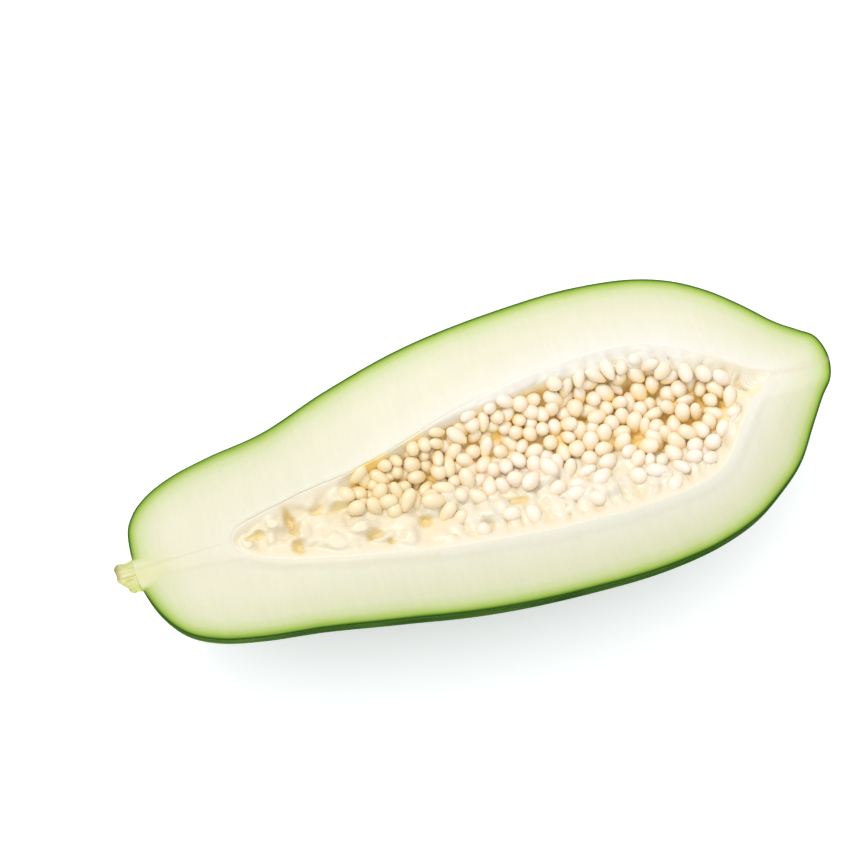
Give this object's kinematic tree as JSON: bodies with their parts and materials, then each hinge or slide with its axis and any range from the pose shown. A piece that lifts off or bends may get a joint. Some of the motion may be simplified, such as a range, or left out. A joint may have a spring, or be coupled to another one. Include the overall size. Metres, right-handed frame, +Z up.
{
  "type": "halved green papaya",
  "caption": "Green papaya cut lengthwise through its stem, lying on its back with the seed hollow, seeds and pale flesh facing up.",
  "frame": {"origin": "centre of the box round the whole half, on the surface that it lies on", "axes": "+X along the half from the stem end to the blossom end, +Y across the cut face, +Z up out of the level cut face"},
  "size_m": [0.2566, 0.1058, 0.0527],
  "materials": {
    "fruit": "waxy dark green skin, satin, mottled lighter and darker; moist pale cream flesh with a green edge where cut",
    "seeds": "moist cream seeds in amber and whitish pulp",
    "stem": "dry fibrous pale green cut stalk"
  },
  "bodies": {
    "root": {"fruit_half": "fruit", "seeds": "seeds", "stem": "stem"}
  },
  "joints": []
}
